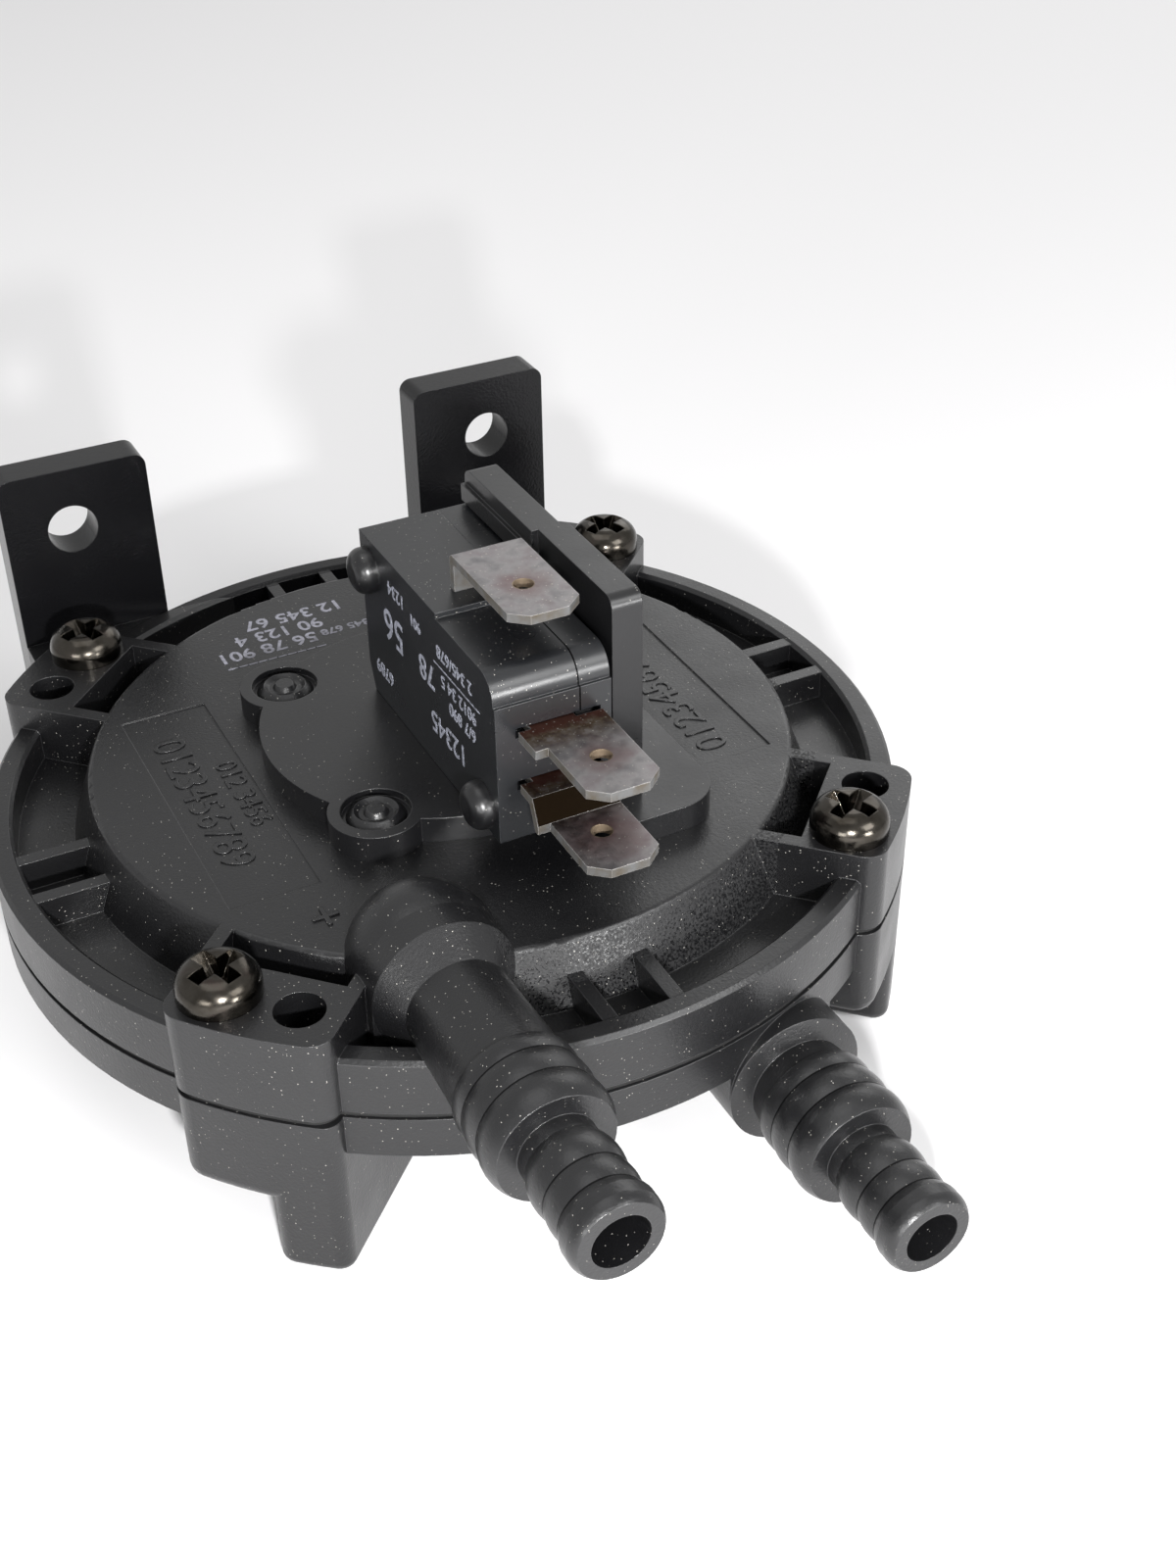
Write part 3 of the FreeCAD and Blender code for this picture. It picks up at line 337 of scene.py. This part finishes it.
def tarnished_tab(name, terminal, root_y, stain_mm):
    """root_y is where the blade leaves the case, and stain_mm how far the hole's stain goes."""
    low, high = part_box(terminal)
    made, tree, shader = blank_material(name)
    shader.inputs["Metallic"].default_value = 1.0
    across, along = split_position(tree)[:2]
    hole_x, hole_y = high[0] - blade_half_width, low[1] + hole_from_tip
    from_hole = distance(
        tree, maths(tree, "SUBTRACT", across, hole_x), maths(tree, "SUBTRACT", along, hole_y))
    from_hole = maths(tree, "DIVIDE", from_hole, mm)

    plating = ramp(tree, noise(tree, 2.2, detail=5.0), [
        (0.3, (0.15, 0.145, 0.15)), (0.5, (0.25, 0.24, 0.24)),
        (0.62, (0.22, 0.20, 0.205)), (0.8, (0.17, 0.15, 0.14))])
    unevenness = maths(tree, "MULTIPLY", noise(tree, 1.6), hole_ragged_mm)
    ragged = maths(tree, "ADD", from_hole, unevenness)
    near_hole = maths(tree, "SUBTRACT", 1.0, maths(tree, "DIVIDE", ragged, stain_mm))
    colour = mix(tree, maths(tree, "MAXIMUM", near_hole, 0.0), plating, purple)

    from_root = maths(tree, "DIVIDE", maths(tree, "SUBTRACT", root_y, along), mm)
    unevenness = maths(tree, "MULTIPLY", noise(tree, 1.3), root_ragged_mm)
    ragged = maths(tree, "ADD", from_root, unevenness)
    faded = maths(tree, "DIVIDE", ragged, scorch_fade_mm)
    scorched = held(tree, maths(tree, "SUBTRACT", 2.0, faded), most_scorched)
    mottled = ramp(tree, noise(tree, 0.9, detail=6.0, roughness=0.7), [
        (0.38, (0.045, 0.018, 0.010)), (0.5, (0.10, 0.066, 0.034)), (0.62, (0.16, 0.14, 0.125))])
    colour = mix(tree, scorched, colour, mottled)
    red_streak = held(tree, maths(tree, "SUBTRACT", red_reach_mm, ragged), most_red)
    colour = mix(tree, red_streak, colour, dark_red)
    specks = dust(tree, spacing_mm=0.26, largest=0.3, amount=0.35)
    colour = mix(tree, specks, colour, blade_dust)

    direction = tree.nodes.new("ShaderNodeSeparateXYZ")
    tree.links.new(
        tree.nodes.new("ShaderNodeNewGeometry").outputs["Normal"], direction.inputs[0])
    facing_up = maths(tree, "ABSOLUTE", direction.outputs[2])
    sloping = maths(tree, "LESS_THAN", facing_up, bend_limit)
    upright = maths(tree, "LESS_THAN", facing_up, side_limit)
    sheared = ramp(tree, noise(tree, 1.2), [(0.35, grey(0.15)), (0.7, (0.11, 0.095, 0.075))])
    # The bend's slope is painted dark brown, as shade.
    colour = mix(tree, sloping, colour, bend_painted_shade)
    colour = mix(tree, upright, colour, sheared)
    rounded = soft_edges(tree, blade_edge_mm)
    on_edge = maths(tree, "MINIMUM", edge_mask(tree, rounded), 1.0)
    rubbed = maths(tree, "MULTIPLY", on_edge, most_rubbed)
    colour = mix(tree, rubbed, colour, bright_edge)
    in_hole = maths(tree, "LESS_THAN", from_hole, hole_r_mm)
    tree.links.new(mix(tree, in_hole, colour, bare_brass), shader.inputs["Base Color"])

    rough = ramp(tree, noise(tree, 0.9, detail=4.0), [(0.3, grey(0.36)), (0.7, grey(0.52))])
    tree.links.new(mix(tree, sloping, rough, grey(bend_rough)), shader.inputs["Roughness"])
    rolled = tree.nodes.new("ShaderNodeVectorMath")
    rolled.operation = "MULTIPLY"
    rolled.inputs[1].default_value = (1.0, scratch_stretch, 1.0)
    tree.links.new(part_position(tree), rolled.inputs[0])
    scratches = tree.nodes.new("ShaderNodeTexNoise")
    scratches.inputs["Scale"].default_value = 1.0 / (scratch_mm * mm)
    tree.links.new(rolled.outputs[0], scratches.inputs["Vector"])
    scratched = bump(tree, scratches.outputs["Fac"], scratch_depth_mm, rounded)
    tree.links.new(scratched, shader.inputs["Normal"])
    return made


switch_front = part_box("switch_case")[0][1]
front_root_y = switch_front - 0.17 * mm
common_root_y = -1.0 * mm
for terminal, finish, root_y, stain_mm in (
        ("common_terminal", "common_tin", common_root_y, 4.4),
        ("normally_open_terminal", "open_tin", front_root_y, 4.4),
        ("normally_closed_terminal", "closed_tin", front_root_y, 6.5)):
    finish_node(terminal, tarnished_tab(finish, terminal, root_y, stain_mm))


# The plates, springs, bush and contacts are inside the closed housing and the switch. They are
# guessed to be stamped steel, spring wire and copper alloy, and get a plain bright finish.
def plain_metal(name, tone, rough):
    made, tree, shader = blank_material(name)
    shader.inputs["Metallic"].default_value = 1.0
    darkest, spread = 0.8, 0.05
    darker = tuple(c * darkest for c in tone)
    tree.links.new(
        ramp(tree, noise(tree, 3.0), [(0.3, darker), (0.7, tone)]), shader.inputs["Base Color"])
    tree.links.new(
        ramp(tree, noise(tree, 1.0), [(0.3, grey(rough - spread)), (0.7, grey(rough + spread))]),
        shader.inputs["Roughness"])
    return made


bright_metal = plain_metal("plate_metal", (0.72, 0.73, 0.74), 0.3)
for name in ("upper_plate", "lower_plate", "return_spring",
             "open_contact", "closed_contact", "moving_contact"):
    finish_node(name, bright_metal)
copper_alloy = plain_metal("blade_metal", (0.62, 0.42, 0.26), 0.3)
for name in ("contact_blade", "snap_spring", "pin_bush"):
    finish_node(name, copper_alloy)


# The pin that the diaphragm lifts is guessed to be moulded in undyed nylon. It slides in the bush
# and stands hidden under the switch.
pin_plastic = moulded_plastic(
    "pin_plastic", dark=(0.45, 0.44, 0.40), light=(0.55, 0.54, 0.50), gloss=0.4, grain_mm=0.4,
    grain_depth_mm=0.004, edge_mm=0.1, dust_amount=0.0)[0]
finish_node("actuator_pin", pin_plastic)


# The deck and the switch's side carry white ink, and figures stand raised in the deck's two shallow
# panels, with a raised plus beside the upper port. The figures are plain numbers, each turned the
# way the real part's is.
def ink(name, colour, rough):
    made, tree, shader = blank_material(name)
    thinnest, spread = 0.55, 0.05
    thin = tuple(c * thinnest for c in colour)
    tree.links.new(
        ramp(tree, noise(tree, 0.5, detail=4.0), [(0.35, thin), (0.6, colour)]),
        shader.inputs["Base Color"])
    tree.links.new(
        ramp(tree, noise(tree, 1.0), [(0.3, grey(rough - spread)), (0.7, grey(rough + spread))]),
        shader.inputs["Roughness"])
    return made


def figures(name, text, height_mm, place_mm, right, up, raised_mm, material, swell_mm=0.0):
    """Figures centred at a place. right and up are the directions they read in, and swell_mm
    makes their strokes bolder."""
    size_of_height = 1.4
    curve = bpy.data.curves.new(name, "FONT")
    curve.body = text
    curve.size = height_mm * size_of_height * mm
    curve.align_x = "CENTER"
    curve.align_y = "CENTER"
    curve.extrude = raised_mm / 2 * mm
    curve.offset = swell_mm * mm
    curve.resolution_u = 4
    curve.materials.append(material)
    piece = bpy.data.objects.new(name, curve)
    right, up = Vector(right), Vector(up)
    out = right.cross(up)
    centre = Vector(place_mm) * mm + out * (raised_mm / 2 * mm)
    turned = Matrix((right, up, out)).transposed().to_4x4()
    piece.matrix_world = Matrix.Translation(centre) @ turned
    bpy.context.scene.collection.objects.link(piece)
    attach(piece, "housing")


print_thickness_mm = 0.02
deck_swell_mm, side_swell_mm = 0.04, 0.025
deck_top_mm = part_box("switch_bracket")[0][2] / mm
deck_ink = ink("deck_ink", (0.30, 0.30, 0.35), 0.5)
deck_rows = (
    ("12 345 67", 1.8, -4.5, 26.6), ("90 123 4", 1.8, -6.9, 24.2), ("56 78 901", 1.8, -8.9, 21.8),
    ("345 678", 1.1, -0.8, 22.0), ("__________", 1.4, -8.6, 18.9))
for row, (text, height_mm, x_mm, y_mm) in enumerate(deck_rows):
    figures(
        "deck_print_%d" % row, text, height_mm, (x_mm, y_mm, deck_top_mm), (-1, 0, 0), (0, -1, 0),
        print_thickness_mm, deck_ink, swell_mm=deck_swell_mm)

switch_side_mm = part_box("switch_case")[0][0] / mm
side_ink = ink("side_ink", (0.27, 0.28, 0.33), 0.5)
side_rows = (
    ("1234", 1.3, -0.5, 40.2), ("56", 3.2, 0.6, 36.2), ("78", 2.4, -6.6, 36.0),
    ("901", 1.1, -4.6, 39.5), ("2 345/678", 1.25, -12.6, 39.4), ("9012 34 5", 1.25, -13.2, 36.8),
    ("6/7 890", 1.25, -13.8, 34.9), ("12345", 2.1, -10.6, 31.6), ("6789", 1.4, 3.6, 30.3),
    ("__________", 1.3, -12.9, 37.2))
for row, (text, height_mm, y_mm, z_mm) in enumerate(side_rows):
    figures(
        "side_print_%d" % row, text, height_mm, (switch_side_mm, y_mm, z_mm), (0, 1, 0),
        (0, 0, -1), print_thickness_mm, side_ink, swell_mm=side_swell_mm)

panel_sunk_mm = 0.15
figure_raised_mm, plus_raised_mm = 0.12, 0.15
plus_height_mm, plus_x_mm, plus_y_mm = 3.4, -18.8, -20.0
panel_rows = (
    ("0123456789", 3.0, -22.6, 0.5, 1), ("012 3456", 2.0, -19.0, 0.0, 1),
    ("0123456789", 3.0, 21.0, -3.0, -1))
for row, (text, height_mm, x_mm, y_mm, top_side) in enumerate(panel_rows):
    figures(
        "deck_figures_%d" % row, text, height_mm, (x_mm, y_mm, deck_top_mm - panel_sunk_mm),
        (0, -top_side, 0), (top_side, 0, 0), figure_raised_mm, housing_plastic)
figures(
    "plus_mark", "+", plus_height_mm, (plus_x_mm, plus_y_mm, deck_top_mm), (1, 0, 0), (0, 1, 0),
    plus_raised_mm, housing_plastic)


# The table is a plain white sheet that keeps the part's shadow. The eye and the glossy surfaces
# see it a little brighter than the lamps make it.
def background_rays(tree):
    """1 for what the eye, a glossy surface or a clear one sees, and 0 for light on the part."""
    path = tree.nodes.new("ShaderNodeLightPath")
    seen = maths(tree, "MAXIMUM", path.outputs["Is Camera Ray"], path.outputs["Is Glossy Ray"])
    return maths(tree, "MAXIMUM", seen, path.outputs["Is Transmission Ray"])


sheet_glow = 0.03
sheet_reach = 1.5
white_sheet = bpy.data.materials.new("white_sheet")
white_sheet.use_nodes = True
tree = white_sheet.node_tree
tree.nodes.clear()
paper = tree.nodes.new("ShaderNodeBsdfDiffuse")
paper.inputs["Color"].default_value = (0.86, 0.855, 0.86, 1.0)
glow = tree.nodes.new("ShaderNodeEmission")
glow.inputs["Color"].default_value = (1.0, 1.0, 1.0, 1.0)
tree.links.new(
    maths(tree, "MULTIPLY", background_rays(tree), sheet_glow), glow.inputs["Strength"])
both = tree.nodes.new("ShaderNodeAddShader")
tree.links.new(paper.outputs[0], both.inputs[0])
tree.links.new(glow.outputs[0], both.inputs[1])
output = tree.nodes.new("ShaderNodeOutputMaterial")
tree.links.new(both.outputs[0], output.inputs[0])
sheet_mesh = bpy.data.meshes.new("table_sheet")
corners = [(x * sheet_reach, y * sheet_reach, 0) for x, y in ((-1, -1), (1, -1), (1, 1), (-1, 1))]
sheet_mesh.from_pydata(corners, [], [(0, 1, 2, 3)])
sheet_mesh.materials.append(white_sheet)
table_sheet = bpy.data.objects.new("table_sheet", sheet_mesh)
bpy.context.scene.collection.objects.link(table_sheet)


# Soft lights stand in front on the right, behind on the right, overhead and low on the left. A low
# card in front lights the deck's sloping wall, and a small light below the camera throws the fine
# hard shadows. The room lights evenly from all sides, and the eye sees it brighter than it lights.
def soft_light(name, place, aim, size, power):
    data = bpy.data.lights.new(name, "AREA")
    data.shape = "RECTANGLE"
    data.size, data.size_y = size
    data.energy = power
    made = bpy.data.objects.new(name, data)
    made.location = place
    made.rotation_euler = (Vector(aim) - Vector(place)).to_track_quat("-Z", "Y").to_euler()
    bpy.context.scene.collection.objects.link(made)


for name, place, aim, size, power in (
        ("key_softbox", (0.30, -0.50, 0.45), (0, 0, 0.02), (0.35, 0.30), 2.4),
        ("back_softbox", (0.50, 0.44, 0.40), (0, 0, 0.02), (0.50, 0.34), 0.9),
        ("overhead_softbox", (-0.10, 0.05, 0.90), (0, 0, 0), (0.60, 0.60), 1.5),
        ("left_softbox", (-0.60, -0.50, 0.16), (0, -0.02, 0.01), (0.30, 0.20), 2.4),
        ("low_card", (0.19, -0.55, 0.09), (0, -0.03, 0.02), (0.15, 0.12), 2.0),
        ("camera_light", (-0.0569, -0.1833, 0.0975), (0, 0, 0.01), (0.012, 0.008), 0.62)):
    soft_light(name, place, aim, size, power)

room_light = 0.38
room_seen_more = 0.42
room = bpy.data.worlds.new("room")
bpy.context.scene.world = room
room.use_nodes = True
tree = room.node_tree
background = tree.nodes["Background"]
background.inputs["Color"].default_value = (1, 1, 1, 1)
seen_more = maths(tree, "MULTIPLY", background_rays(tree), room_seen_more)
tree.links.new(maths(tree, "ADD", seen_more, room_light), background.inputs["Strength"])


# The camera stands above and in front of the ports, a little to their left. Its place, its
# directions and its focal length in pixels were solved from the round rims, lugs and switch.
camera_place = Vector((-0.055975, -0.141320, 0.125333))
view_right = Vector((0.89051, -0.45477, -0.01246))
view_up = Vector((0.27086, 0.50798, 0.81767))
focal_px = 2052.354
picture_width_px = 1200.0
sensor_width_mm = 36.0
camera_data = bpy.data.cameras.new("camera")
camera_data.sensor_fit = "HORIZONTAL"
camera_data.sensor_width = sensor_width_mm
camera_data.lens = focal_px * sensor_width_mm / picture_width_px
camera_data.clip_start = 0.005
camera = bpy.data.objects.new("camera", camera_data)
view_back = view_right.cross(view_up)
turned = Matrix((view_right, view_up, view_back)).transposed().to_4x4()
camera.matrix_world = Matrix.Translation(camera_place) @ turned
bpy.context.scene.collection.objects.link(camera)
bpy.context.scene.camera = camera
bpy.context.scene.view_settings.view_transform = "Standard"
